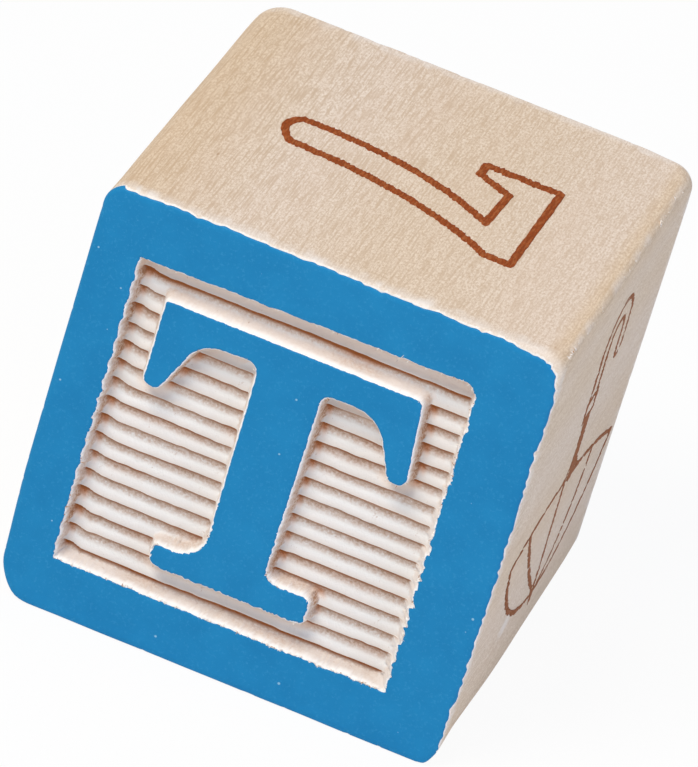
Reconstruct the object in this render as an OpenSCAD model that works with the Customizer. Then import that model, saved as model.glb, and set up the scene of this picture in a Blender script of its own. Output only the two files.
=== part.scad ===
// Wooden alphabet block.
// One solid cube of pale wood with the grain along Y. Its two end-grain faces, front (-Y)
// and back (+Y), carry a sunk, fluted panel with a raised capital letter and a raised frame,
// and both lands are painted. The four long-grain faces carry outline prints in ink.
// The origin is the middle of the bottom face, and +Z is up.

/* [Block] */
// Width, depth and height of the finished cube, over the paint
block_w = 44.45; // [42:0.05:50]
// Radius of the four long edges, which run along the grain
edge_r = 2.5; // [1:0.1:4]
// Radius of the rims round the two end-grain faces
rim_r = 0.4; // [0.3:0.05:0.8]
// Thickness of the paint coat on the lands
paint_t = 0.15; // [0.1:0.01:0.25]
// Depth that the printing ink soaks into the wood
ink_t = 0.1; // [0.05:0.01:0.2]

/* [Frame and sunk panel] */
// Width of the raised frame on the left of the panel
frame_left_w = 4.85; // [4:0.05:8]
// Width of the raised frame on the right of the panel
frame_right_w = 6.85; // [4:0.05:8]
// Width of the raised frame above the panel
frame_top_w = 6.05; // [4:0.05:8]
// Width of the raised frame below the panel
frame_bottom_w = 5.7; // [4:0.05:8]
// Radius of the panel's corners at the face
panel_r = 0.3; // [0.1:0.05:1]
// Depth from the land to the bottom of the flutes
relief_d = 1.7; // [1.2:0.05:2.2]
// Slope of the relief's walls off the square, in degrees
draft = 16; // [8:1:20]
// Distance from one flute to the next
flute_pitch = 1.984; // [1.6:0.004:3]
// Height of the ridges between the flutes
flute_rise = 0.35; // [0.2:0.05:0.5]

/* [Letter] */
// Gap between the frame and the letter's left serif
letter_left_gap = 3.3; // [2.5:0.05:4]
// Gap between the frame and the letter's right serif
letter_right_gap = 3.65; // [2.5:0.05:4]
// Gap between the frame and the letter, above and below it
letter_gap = 3.2; // [2.5:0.05:4]
// Width of the stem
stem_w = 6.1; // [5:0.1:7]
// Thickness of the bar across the top
bar_t = 2.95; // [2.4:0.05:3.4]
// Drop of the hanging serifs, from the top of the bar
serif_h = 8.9; // [8:0.1:11]
// Width of a hanging serif at its tip
serif_w = 1.9; // [1.8:0.05:2.2]
// Radius of a hanging serif's round tip
serif_r = 0.85; // [0.5:0.05:0.9]
// How far the right serif's outer side leans out on its way down
serif_lean = 0.65; // [0:0.05:1]
// Distance from a serif's outer side to where its inner side meets the bar
shoulder_w = 4; // [3.5:0.1:5]
// Radius between a serif's inner side and the bar
shoulder_r = 3.2; // [1.5:0.1:3.6]
// Radius between the bar and the stem
throat_r = 1.05; // [0.8:0.05:1.3]
// Width of the foot
foot_w = 15.3; // [14:0.1:17]
// Thickness of the foot
foot_t = 2.65; // [2.3:0.05:3]
// Radius of the left bracket between stem and foot
bracket_left_r = 2.6; // [1:0.1:3]
// Radius of the right bracket between stem and foot
bracket_right_r = 1.4; // [1:0.1:3]
// Radius of the foot's corners
foot_r = 0.6; // [0.3:0.05:1]
// Radius of the bar's top left corner
crisp_r = 0.3; // [0.1:0.05:0.8]
// Radius of the bar's top right corner
soft_r = 0.9; // [0.3:0.05:1.2]

/* [Prints] */
// Width of a printed line
line_w = 0.85; // [0.6:0.05:1]
// Height of the numeral, on the middle of its line
numeral_h = 25.1; // [22:0.1:28]
// Width of the numeral, on the middle of its line
numeral_w = 16.2; // [15:0.1:19]
// Place of the numeral's middle on the face, along the numeral's own height
numeral_up = 0.25; // [-2:0.05:2]
// Place of the numeral's middle on the face, to the numeral's own right
numeral_right = 1.15; // [-2:0.05:2]
// Distance from each end of the umbrella's canopy to the edge of its face, when centred
canopy_margin = 4.6; // [4:0.1:6]
// Height of the canopy's dome above its rim's ends
dome_h = 10.5; // [9:0.1:12]
// Distance of the crown from the canopy's middle, to the figure's left
crown_left = 0.9; // [0:0.1:1.5]
// Turn of the canopy in its picture, clockwise, in degrees
canopy_turn = 3.3; // [0:0.1:6]
// How far the rim bows down towards the handle
rim_bow = 2.7; // [2:0.1:4]
// Length of the spike above the dome
spike_l = 1.1; // [0.8:0.1:2]
// Length of the bare shaft under the canopy
shaft_l = 6.8; // [5:0.1:8]
// Width of the shaft
shaft_w = 1.7; // [1.2:0.1:2]
// Lean of the shaft and handle off the canopy's own upright, anticlockwise, in degrees
shaft_lean = 11.8; // [0:0.1:15]
// Height of the flare that joins the shaft to the rim
flare_h = 2.9; // [2:0.1:4]
// Spread of that flare on the rim, to each side
flare_w = 2.9; // [2:0.1:4]
// Length of the ferrule between shaft and handle
ferrule_l = 2.9; // [2.4:0.1:3.4]
// Width of the ferrule
ferrule_w = 3.8; // [3.4:0.1:5]
// Length of the handle's straight part
handle_l = 4.7; // [4:0.1:5.5]
// Radius of the handle's crook, on its middle line
crook_r = 3; // [2.8:0.1:3.6]
// Length of the handle's free end, from the crook to the middle of its round tip
handle_tip_l = 3; // [1:0.1:4]
// Width of the handle
handle_w = 2.9; // [2.1:0.1:3.2]
// Drop of the canopy's two ends below the face's middle, the spike pointing down
picture_drop = 4.4; // [3:0.1:5]
// Distance from the face's middle to the umbrella's middle, to the right
picture_right = 1.6; // [0:0.1:2]

/* [Hidden] */

$fn = 48;
// Straight steps in one arc of an outline
arc_steps = 6;
// Straight steps in a long curve of a print
curve_steps = 20;
// What a cut runs past the surface that it opens
overrun = 0.5;
// Radius of a corner that counts as sharp
sharp_r = 0.02;

// Half of the cube, and the middle of the long edges' rounding
half_w = block_w / 2;
edge_at = half_w - edge_r;
// Half of the wood's depth, up to the painted lands
land_at = half_w - paint_t;

// The panel at the land: its size, and its middle from the face's middle
panel_w = block_w - frame_left_w - frame_right_w;
panel_h = block_w - frame_top_w - frame_bottom_w;
panel_x = (frame_left_w - frame_right_w) / 2;
panel_y = (frame_bottom_w - frame_top_w) / 2;

// Radius of a flute whose chord is the pitch and whose rise is the ridge height
flute_r = (pow(flute_pitch / 2, 2) + pow(flute_rise, 2)) / (2 * flute_rise);
// Flutes on each side of the middle one, enough to pass the panel's edges
flute_side = ceil(panel_h / 2 / flute_pitch);
flute_half_angle = asin(flute_pitch / 2 / flute_r);

// The letter at the land: its size, and its middle from the panel's middle
letter_w = panel_w - letter_left_gap - letter_right_gap;
letter_h = panel_h - 2 * letter_gap;
letter_x = (letter_left_gap - letter_right_gap) / 2;

// The bar's underside between stem and shoulder, and what of it the two radii may take
bar_under_l = letter_w / 2 - shoulder_w - stem_w / 2;
throat_share = 0.4;
shoulder_share = 0.8;
throat_fit_r = min(throat_r, bar_under_l * throat_share);
shoulder_fit_r = min(shoulder_r, bar_under_l * shoulder_share);

// Corners of the letter, anticlockwise from its top right, as [x, y, radius]
letter_half = letter_w / 2;
letter_top = letter_h / 2;
bar_under = letter_top - bar_t;
serif_tip = letter_top - serif_h;
foot_top = foot_t - letter_top;
letter_corners = [
    [letter_half - serif_lean, letter_top, soft_r],
    [-letter_half, letter_top, crisp_r],
    [-letter_half, serif_tip, serif_r],
    [serif_w - letter_half, serif_tip, serif_r],
    [shoulder_w - letter_half, bar_under, shoulder_fit_r],
    [-stem_w / 2, bar_under, throat_fit_r],
    [-stem_w / 2, foot_top, bracket_left_r],
    [-foot_w / 2, foot_top, foot_r],
    [-foot_w / 2, -letter_top, foot_r],
    [foot_w / 2, -letter_top, foot_r],
    [foot_w / 2, foot_top, foot_r],
    [stem_w / 2, foot_top, bracket_right_r],
    [stem_w / 2, bar_under, throat_fit_r],
    [letter_half - shoulder_w, bar_under, shoulder_fit_r],
    [letter_half - serif_w, serif_tip, serif_r],
    [letter_half, serif_tip, serif_r]
];

// Corners of the sunk panel at the face, anticlockwise
panel_corners = [
    [panel_w / 2, panel_h / 2, panel_r],
    [-panel_w / 2, panel_h / 2, panel_r],
    [-panel_w / 2, -panel_h / 2, panel_r],
    [panel_w / 2, -panel_h / 2, panel_r]
];

// Corners of the figure seven, anticlockwise from its top left: across as shares of its
// width, up as shares of its height, and the radius as a share of its height
numeral_shares = [
    [0, 1, 0.012],
    [0, 0.706, 0.012],
    [0.128, 0.706, 0.012],
    [0.25, 0.842, 0.01],
    [0.653, 0.83, 0],
    [0.297, 0.573, 0.85],
    [0.297, 0.044, 0.02],
    [0.41, 0, 0.03],
    [0.5, 0, 0.03],
    [0.594, 0.047, 0.02],
    [0.594, 0.483, 1.38],
    [0.95, 0.845, 0.02],
    [1, 0.885, 0.02],
    [1, 1, 0.012]
];
numeral_corners = [
    for (s = numeral_shares)
        [(s.x - 0.5) * numeral_w, (s.y - 0.5) * numeral_h, s.z * numeral_h]
];

// Width of the canopy, between the middles of its rim's ends
canopy_w = block_w - 2 * canopy_margin;
// The three ribs: each one's place on the rim as a share of half the canopy's width, and its
// bow as a share of its own chord
rib_shares = [[-0.5, 0.16], [0.1, 0], [0.7, 0.03]];
// Radii of the dome and of the rim, each an arc through the canopy's two ends
dome_r = (pow(canopy_w / 2, 2) + pow(dome_h, 2)) / (2 * dome_h);
rim_bow_r = (pow(canopy_w / 2, 2) + pow(rim_bow, 2)) / (2 * rim_bow);
// Bow of the flare's two sides, as a share of their chords
flare_bow_share = 0.15;
// Heights down the shaft's own axis, from the rim
ferrule_at = -shaft_l;
handle_at = ferrule_at - ferrule_l;
crook_at = handle_at - handle_l;
tip_at = crook_at + handle_tip_l;

// A vector of length one
function unit(v) = v / norm(v);

// Points on an arc about a centre, from one angle on through a sweep, in degrees
function arc(centre, r, start, sweep, steps) = [
    for (k = [0:steps])
        let (a = start + sweep * k / steps)
            centre + r * [cos(a), sin(a)]
];

// One corner of an outline, rounded to the radius in its third value
function corner_arc(before, here, after) =
    let (
        p = [here.x, here.y],
        u = unit([before.x, before.y] - p),
        v = unit([after.x, after.y] - p),
        half = acos(u * v) / 2,
        centre = p + unit(u + v) * here.z / sin(half),
        first = p + u * here.z / tan(half) - centre,
        turn = sign(u.y * v.x - u.x * v.y)
    )
    arc(centre, here.z, atan2(first.y, first.x), turn * (180 - 2 * half), arc_steps);

// A closed outline with all its corners rounded
function rounded(corners) =
    let (n = len(corners))
    [for (i = [0:n - 1]) each corner_arc(corners[(i + n - 1) % n], corners[i], corners[(i + 1) % n])];

// The outward direction of an edge of an anticlockwise outline
function edge_out(a, b) = unit([b.y - a.y, a.x - b.x]);

// Anticlockwise corners moved outwards by d, or inwards where d is negative. A radius
// grows or shrinks with its side, so that the rounded outlines stay evenly apart
function moved(corners, d) =
    let (n = len(corners))
    [for (i = [0:n - 1])
        let (
            a = edge_out(corners[(i + n - 1) % n], corners[i]),
            b = edge_out(corners[i], corners[(i + 1) % n]),
            p = [corners[i].x, corners[i].y] + (a + b) * d / (1 + a * b),
            turn = sign(a.x * b.y - a.y * b.x)
        )
        [p.x, p.y, max(corners[i].z + turn * d, sharp_r)]];

// One side of a path, d to its right
function path_side(path, d) =
    let (n = len(path))
    [for (i = [0:n - 1])
        let (
            a = edge_out(path[max(i - 1, 0)], path[max(i, 1)]),
            b = edge_out(path[min(i, n - 2)], path[min(i + 1, n - 1)])
        )
        path[i] + (a + b) * d / (1 + a * b)];

// The outline of a band of width w laid along a path
function band(path, w) =
    let (left = path_side(path, -w / 2))
    concat(path_side(path, w / 2), [for (i = [len(left) - 1:-1:0]) left[i]]);

// The arc from a to b that bows to the right of the way by the given height
function bowed(a, b, bow) =
    let (
        chord = norm(b - a),
        r = (pow(chord / 2, 2) + pow(bow, 2)) / (2 * bow),
        side = edge_out(a, b),
        centre = (a + b) / 2 + side * (bow - r),
        half = asin(chord / 2 / r),
        start = atan2(side.y, side.x) - half
    )
    arc(centre, r, start, 2 * half, curve_steps);

// Upright section through what is cut away above the flutes, bounded by a row of hollow
// arcs that meet in ridges
fluted_section = concat(
    [for (i = [-flute_side:flute_side])
        each arc([i * flute_pitch, flute_r - relief_d], flute_r,
                 -90 - flute_half_angle, 2 * flute_half_angle, arc_steps)],
    [[(flute_side + 0.5) * flute_pitch, overrun / 2],
     [-(flute_side + 0.5) * flute_pitch, overrun / 2]]
);

// The middle line of the handle, from a height of its straight part round through half a turn
// to its free tip
function handle_path(from) = concat(
    [[0, from]],
    arc([-crook_r, crook_at], crook_r, 0, -180, curve_steps),
    [[-2 * crook_r, tip_at]]
);

// Each face has a frame of its own: x to the right, y up and z out of the block
module at_front() {
    translate([0, -half_w, half_w])
        rotate([90, 0, 0])
            children();
}

module at_back() {
    rotate([0, 0, 180])
        at_front() children();
}

module at_right() {
    rotate([0, 0, 90])
        at_front() children();
}

module at_left() {
    rotate([0, 0, -90])
        at_front() children();
}

module at_top() {
    translate([0, 0, block_w])
        children();
}

module at_bottom() {
    rotate([180, 0, 0])
        children();
}

// A rectangle with four equal round corners, about its middle
module round_rect(w, h, r) {
    square([w - 2 * r, h], center = true);
    square([w, h - 2 * r], center = true);
    for (x = [-1, 1], y = [-1, 1])
        translate([x * (w / 2 - r), y * (h / 2 - r)])
            circle(r = r);
}

// The cube before it is worked: long edges rounded by edge_r, end rims by rim_r
module blank() {
    translate([0, 0, half_w]) {
        for (x = [-1, 1], z = [-1, 1])
            translate([x * edge_at, 0, z * edge_at])
                rotate([90, 0, 0])
                    rotate_extrude()
                        intersection() {
                            round_rect(2 * edge_r, block_w, rim_r);
                            translate([0, -half_w])
                                square([edge_r, block_w]);
                        }
        rotate([90, 0, 90])
            linear_extrude(height = 2 * edge_at, center = true)
                round_rect(block_w, block_w, rim_r);
        linear_extrude(height = 2 * edge_at, center = true)
            round_rect(block_w, block_w, rim_r);
    }
}

// A solid on the corners of an outline at the land, with walls that slope with depth:
// outwards for way 1, inwards for way -1
module drafted(corners, way) {
    slope = way * tan(draft);
    low = -relief_d - overrun;
    upper = rounded(moved(corners, -slope * overrun));
    lower = rounded(moved(corners, -slope * low));
    n = len(lower);
    polyhedron(
        points = concat(
            [for (p = lower) [p.x, p.y, low]],
            [for (p = upper) [p.x, p.y, overrun]]
        ),
        faces = concat(
            [[for (i = [0:n - 1]) i], [for (i = [n - 1:-1:0]) n + i]],
            [for (i = [0:n - 1]) [n + i, n + (i + 1) % n, (i + 1) % n, i]]
        )
    );
}

// What the relief removes below a land: the sunk panel down to its flutes, less the letter
module relief_cut() {
    translate([panel_x, panel_y, -paint_t])
        difference() {
            intersection() {
                drafted(panel_corners, -1);
                rotate([90, 0, 90])
                    linear_extrude(height = panel_w + 2 * overrun, center = true)
                        polygon(fluted_section);
            }
            translate([letter_x, 0, 0])
                drafted(letter_corners, 1);
        }
}

// The painted skin on the frame's land, in a face's own frame
module frame_skin() {
    translate([panel_x, panel_y, -paint_t - overrun])
        linear_extrude(height = paint_t + 2 * overrun)
            polygon(rounded(panel_corners));
}

// The painted skin on the letter's land, in a face's own frame
module letter_skin() {
    translate([panel_x + letter_x, panel_y, -paint_t])
        linear_extrude(height = paint_t)
            polygon(rounded(letter_corners));
}

// A slab of the blank's end, one paint coat thick, in a face's own frame
module coat_slab() {
    translate([0, 0, -paint_t / 2])
        cube([block_w + overrun, block_w + overrun, paint_t], center = true);
}

// A printed line whose middle runs along a closed outline
module line_round(corners) {
    difference() {
        polygon(rounded(moved(corners, line_w / 2)));
        polygon(rounded(moved(corners, -line_w / 2)));
    }
}

// The figure seven in outline, upright about its middle
module numeral_lines() {
    line_round(numeral_corners);
}

// The open umbrella in outline: spike up, crook down, from the middle of its rim's ends
module umbrella_lines() {
    rotate(-canopy_turn) {
        canopy_lines();
        for (side = [-1, 1])
            polygon(band(flare_path(side), line_w));
        translate([0, -rim_bow])
            rotate(shaft_lean)
                handle_lines();
    }
}

// The canopy: its dome, its rim, its ribs and its spike
module canopy_lines() {
    left_end = [-canopy_w / 2, 0];
    right_end = [canopy_w / 2, 0];
    crown = [-crown_left, dome_h - dome_r + sqrt(pow(dome_r, 2) - pow(crown_left, 2))];
    polygon(band(bowed(right_end, left_end, dome_h), line_w));
    polygon(band(bowed(left_end, right_end, rim_bow), line_w));
    for (end = [left_end, right_end])
        translate(end)
            circle(d = line_w);
    for (s = rib_shares)
        polygon(band(rib_path(s, crown), line_w));
    polygon(band([crown, crown + [0, spike_l]], line_w));
}

// The line of one rib, from its place on the rim to the crown, bowed outwards
function rib_path(s, crown) =
    let (
        x = s.x * canopy_w / 2,
        foot = [x, rim_bow_r - rim_bow - sqrt(pow(rim_bow_r, 2) - x * x)],
        bow = s.y * norm(crown - foot)
    )
    bow == 0 ? [foot, crown]
        : x > 0 ? bowed(foot, crown, bow)
        : bowed(crown, foot, bow);

// One side of the flare, from the rim to the shaft's own side, where -1 is the left
function flare_path(side) =
    let (
        x = side * (shaft_w - line_w) / 2,
        foot = [side * flare_w, -rim_bow],
        top = [x * cos(shaft_lean) + flare_h * sin(shaft_lean),
               x * sin(shaft_lean) - flare_h * cos(shaft_lean) - rim_bow],
        bow = flare_bow_share * norm(top - foot)
    )
    side > 0 ? bowed(foot, top, bow) : bowed(top, foot, bow);

// The shaft, the ferrule and the handle, down from the rim
module handle_lines() {
    polygon(band([[0, 0], [0, ferrule_at]], shaft_w));
    translate([0, (ferrule_at + handle_at) / 2])
        difference() {
            square([ferrule_w, ferrule_l], center = true);
            square([ferrule_w - 2 * line_w, ferrule_l - 2 * line_w], center = true);
        }
    difference() {
        handle_shape(handle_at, handle_w);
        handle_shape(handle_at - line_w, handle_w - 2 * line_w);
    }
}

// The handle filled in, from a height of its straight part to its round tip
module handle_shape(from, w) {
    polygon(band(handle_path(from), w));
    translate([-2 * crook_r, tip_at])
        circle(d = w);
}

// Ink of one print: its lines as deep as the ink soaks in, in a face's own frame
module inked() {
    translate([0, 0, -ink_t])
        linear_extrude(height = ink_t + overrun)
            children();
}

module numeral_ink() {
    translate([numeral_right, numeral_up, 0])
        inked() numeral_lines();
}

module umbrella_ink() {
    translate([picture_right, -picture_drop, 0])
        rotate([0, 0, 180])
            inked() umbrella_lines();
}

// The four prints as they lie on the block
module top_print() {
    at_top() rotate([0, 0, -90]) numeral_ink();
}

module left_print() {
    at_left() numeral_ink();
}

module right_print() {
    at_right() umbrella_ink();
}

module bottom_print() {
    at_bottom() umbrella_ink();
}

module block_body() {
    color([0.87, 0.79, 0.70])
        difference() {
            intersection() {
                blank();
                translate([0, 0, half_w])
                    cube([block_w + overrun, 2 * land_at, block_w + overrun], center = true);
            }
            at_front() relief_cut();
            at_back() relief_cut();
            top_print();
            left_print();
            right_print();
            bottom_print();
        }
}

module front_frame_paint() {
    color([0.17, 0.52, 0.73])
        difference() {
            intersection() {
                blank();
                at_front() coat_slab();
            }
            at_front() frame_skin();
        }
}

module back_frame_paint() {
    color([0.17, 0.52, 0.73])
        difference() {
            intersection() {
                blank();
                at_back() coat_slab();
            }
            at_back() frame_skin();
        }
}

module front_letter_paint() {
    color([0.17, 0.52, 0.73])
        at_front() letter_skin();
}

module back_letter_paint() {
    color([0.17, 0.52, 0.73])
        at_back() letter_skin();
}

module top_numeral_ink() {
    color([0.62, 0.30, 0.15])
        intersection() {
            blank();
            top_print();
        }
}

module left_numeral_ink() {
    color([0.62, 0.30, 0.15])
        intersection() {
            blank();
            left_print();
        }
}

module right_umbrella_ink() {
    color([0.62, 0.30, 0.15])
        intersection() {
            blank();
            right_print();
        }
}

module bottom_umbrella_ink() {
    color([0.62, 0.30, 0.15])
        intersection() {
            blank();
            bottom_print();
        }
}

block_body();
front_frame_paint();
front_letter_paint();
back_frame_paint();
back_letter_paint();
top_numeral_ink();
left_numeral_ink();
right_umbrella_ink();
bottom_umbrella_ink();
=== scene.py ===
# Wooden alphabet block: the looks of its wood, paint and ink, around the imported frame.
# Shapes are worked out in millimetres and written to the meshes in metres.
from math import radians

import bpy
import numpy as np
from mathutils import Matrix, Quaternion, Vector


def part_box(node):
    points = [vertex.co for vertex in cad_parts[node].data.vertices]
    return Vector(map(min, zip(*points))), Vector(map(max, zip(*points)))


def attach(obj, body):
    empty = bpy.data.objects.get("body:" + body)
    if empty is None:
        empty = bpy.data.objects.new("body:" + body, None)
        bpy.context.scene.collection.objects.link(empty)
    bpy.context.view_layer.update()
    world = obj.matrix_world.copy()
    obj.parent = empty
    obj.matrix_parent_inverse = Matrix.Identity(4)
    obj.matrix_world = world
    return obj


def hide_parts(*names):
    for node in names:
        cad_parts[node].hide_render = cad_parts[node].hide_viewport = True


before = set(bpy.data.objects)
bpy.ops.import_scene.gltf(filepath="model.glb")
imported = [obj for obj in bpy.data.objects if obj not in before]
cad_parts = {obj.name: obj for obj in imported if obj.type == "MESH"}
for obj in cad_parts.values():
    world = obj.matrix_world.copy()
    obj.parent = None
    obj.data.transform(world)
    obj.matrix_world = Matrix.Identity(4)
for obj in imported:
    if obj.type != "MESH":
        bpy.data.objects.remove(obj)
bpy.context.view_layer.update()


# Camera. It looks down on the block's front, top and right from 0.8 m away through a long lens,
# and is rolled to the left, so that the block seems to lean over its front's lower right corner.
camera_from = Vector((0.117063, -0.707940, 0.421299))
camera_at = Vector((0.000389, -0.000192, 0.021775))
camera_roll = 17.28
camera_lens = 418.3
camera_sensor = 36

camera = bpy.data.objects.new("camera", bpy.data.cameras.new("camera"))
bpy.context.scene.collection.objects.link(camera)
bpy.context.scene.camera = camera
level = (camera_at - camera_from).to_track_quat("-Z", "Y")
camera.rotation_mode = "QUATERNION"
camera.rotation_quaternion = level @ Quaternion((0, 0, 1), radians(camera_roll))
camera.location = camera_from
camera.data.lens = camera_lens
camera.data.sensor_width = camera_sensor
camera.data.clip_start = 0.01


# Studio. A pale table and backdrop in one sheet, a large soft lamp above the front, a weak one
# at the right, and an even pale sky.
def node(tree, kind, inputs={}, stops=(), **settings):
    """Adds one shader node: settings go on it, inputs are values or other nodes' sockets, and a
    colour ramp's stops each have a place from 0 to 1 and a colour."""
    made = tree.nodes.new("ShaderNode" + kind)
    for name, value in settings.items():
        setattr(made, name, value)
    for name, value in inputs.items():
        if isinstance(value, bpy.types.NodeSocket):
            tree.links.new(value, made.inputs[name])
        else:
            made.inputs[name].default_value = value
    for index, (at, colour) in enumerate(stops):
        stop = made.color_ramp.elements[index] if index < 2 else made.color_ramp.elements.new(at)
        stop.position = at
        stop.color = colour
    return made


def emptied(owner):
    """The node tree of a material or a world, turned on and empty."""
    owner.use_nodes = True
    owner.node_tree.nodes.clear()
    return owner.node_tree


def shade(code):
    """Linear colour of an sRGB hex code: each channel below 0.04045 over 12.92, else its 2.4 power."""
    channels = np.array([int(code[i:i + 2], 16) for i in (1, 3, 5)]) / 255
    linear = np.where(channels <= 0.04045, channels / 12.92, ((channels + 0.055) / 1.055) ** 2.4)
    return (*linear.tolist(), 1)


bpy.context.scene.view_settings.view_transform = "Standard"
floor_size = 6
paper_white = shade("#F4F4F2")
pure_white = (1, 1, 1, 1)
sky_light = shade("#EAF0FF")
sky_strength = 0.51
table_glow = 0.93

sky = bpy.data.worlds.new("sky")
bpy.context.scene.world = sky
tree = emptied(sky)
rays = node(tree, "LightPath")
seen = node(tree, "Math", {0: rays.outputs["Is Camera Ray"], 1: rays.outputs["Is Glossy Ray"]},
            operation="MAXIMUM")
even = node(tree, "Background", {"Color": sky_light, "Strength": sky_strength})
white = node(tree, "Background", {"Color": pure_white, "Strength": 1})
picked = node(tree, "MixShader", {0: seen.outputs[0], 1: even.outputs[0], 2: white.outputs[0]})
node(tree, "OutputWorld", {"Surface": picked.outputs[0]})

# Matt white paper. To the camera and in reflections it also glows, so that the block stands on
# plain white
table = bpy.data.materials.new("white_table")
tree = emptied(table)
rays = node(tree, "LightPath")
lit = node(tree, "BsdfDiffuse", {"Color": paper_white})
glow = node(tree, "Emission", {"Color": pure_white, "Strength": 1})
seen = node(tree, "Math", {0: rays.outputs["Is Camera Ray"], 1: rays.outputs["Is Glossy Ray"]},
            operation="MAXIMUM")
share = node(tree, "Math", {0: seen.outputs[0], 1: table_glow}, operation="MULTIPLY")
both = node(tree, "MixShader", {0: share.outputs[0], 1: lit.outputs[0], 2: glow.outputs[0]})
node(tree, "OutputMaterial", {"Surface": both.outputs[0]})

floor_mesh = bpy.data.meshes.new("table")
s = floor_size / 2
floor_mesh.from_pydata([(-s, -s, 0), (s, -s, 0), (s, s, 0), (-s, s, 0)], [], [(0, 1, 2, 3)])
floor = bpy.data.objects.new("table", floor_mesh)
bpy.context.scene.collection.objects.link(floor)
floor_mesh.materials.append(table)

# Each lamp: place, size across, watts and tint
lamps = {
    "key": ((-0.35, -0.55, 0.95), 0.5, 8.1, "#FFF8EA"),
    "fill": ((0.8, -0.25, 0.45), 0.5, 1.7, "#CFDFFF"),
}
for name, (place, across, watts, tint) in lamps.items():
    light = bpy.data.lights.new(name, "AREA")
    light.shape = "DISK"
    light.size = across
    light.energy = watts
    light.color = shade(tint)[:3]
    lamp = bpy.data.objects.new(name, light)
    lamp.location = place
    lamp.rotation_mode = "QUATERNION"
    lamp.rotation_quaternion = (camera_at - Vector(place)).to_track_quat("-Z", "Y")
    bpy.context.scene.collection.objects.link(lamp)


# Wood block. One cube of sanded basswood, its grain along Y. Both ends have a pocket for the
# finely meshed carving, and every edge is worn by use, each corner differently.
mm = 0.001
wood_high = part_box("block_body")[1]
half = wood_high.x / mm
land = wood_high.y / mm
face_middle = half
paint_low, paint_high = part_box("front_frame_paint")
paint_thick = (paint_high.y - paint_low.y) / mm

# The faces' own frames: middle, direction to the right, direction up, direction out
faces = {
    "front": ((0, -half, half), (1, 0, 0), (0, 0, 1), (0, -1, 0)),
    "back": ((0, half, half), (-1, 0, 0), (0, 0, 1), (0, 1, 0)),
    "right": ((half, 0, half), (0, 1, 0), (0, 0, 1), (1, 0, 0)),
    "left": ((-half, 0, half), (0, -1, 0), (0, 0, 1), (-1, 0, 0)),
    "top": ((0, 0, 2 * half), (1, 0, 0), (0, 1, 0), (0, 0, 1)),
    "bottom": ((0, 0, 0), (1, 0, 0), (0, -1, 0), (0, 0, -1)),
}


def on_face(face, u, v, out):
    """Points in a face's own frame as points of the block: middle + u right + v up + out."""
    middle, right, up, away = (np.array(a, float) for a in faces[face])
    u, v, out = np.broadcast_arrays(u, v, out)
    return middle + u[..., None] * right + v[..., None] * up + out[..., None] * away


def patchy(u, v, seed):
    """Value noise from -1 to 1: random numbers on a unit lattice, eased between its points."""
    size = 512
    lattice = np.random.default_rng(seed).uniform(-1, 1, (size, size))
    whole_u = np.floor(u).astype(int)
    whole_v = np.floor(v).astype(int)
    ease_u = (u - whole_u) ** 2 * (3 - 2 * (u - whole_u))
    ease_v = (v - whole_v) ** 2 * (3 - 2 * (v - whole_v))
    near = lattice[whole_u % size, whole_v % size] * (1 - ease_u)
    near = near + lattice[(whole_u + 1) % size, whole_v % size] * ease_u
    far = lattice[whole_u % size, (whole_v + 1) % size] * (1 - ease_u)
    far = far + lattice[(whole_u + 1) % size, (whole_v + 1) % size] * ease_u
    return near * (1 - ease_v) + far * ease_v


def ramp(x, start, end):
    """Smooth step from 0 at start to 1 at end."""
    t = np.clip((x - start) / (end - start), 0, 1)
    return t * t * (3 - 2 * t)


def grid_faces(rows, columns, closed_rows=False, closed_columns=False):
    """Quads of a grid of points, row by row, wrapped round where a direction is closed."""
    i, j = np.meshgrid(np.arange(rows - (not closed_rows)), np.arange(columns - (not closed_columns)),
                       indexing="ij")
    i2 = (i + 1) % rows
    j2 = (j + 1) % columns
    cells = [i * columns + j, i * columns + j2, i2 * columns + j2, i2 * columns + j]
    return np.stack(cells, -1).reshape(-1, 4)


def piece(name, points, quads, triangles, material, tints={}):
    """A smooth mesh object from points in mm, quads, triangles and values per point."""
    mesh = bpy.data.meshes.new(name)
    points = np.asarray(points, float).reshape(-1, 3) * mm
    quads = np.asarray(quads, np.int32).reshape(-1, 4)
    triangles = np.asarray(triangles, np.int32).reshape(-1, 3)
    mesh.vertices.add(len(points))
    mesh.vertices.foreach_set("co", points.astype(np.float32).ravel())
    mesh.loops.add(quads.size + triangles.size)
    mesh.loops.foreach_set("vertex_index", np.concatenate([quads.ravel(), triangles.ravel()]))
    starts = np.concatenate([np.arange(len(quads)) * 4, quads.size + np.arange(len(triangles)) * 3])
    mesh.polygons.add(len(starts))
    mesh.polygons.foreach_set("loop_start", starts.astype(np.int32))
    mesh.update(calc_edges=True)
    mesh.validate()
    mesh.shade_smooth()
    for tint, values in tints.items():
        attribute = mesh.attributes.new(tint, "FLOAT", "POINT")
        attribute.data.foreach_set("value", np.asarray(values, np.float32).ravel())
    mesh.materials.append(material)
    made = bpy.data.objects.new(name, mesh)
    bpy.context.scene.collection.objects.link(made)
    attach(made, "root")
    return made


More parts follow.
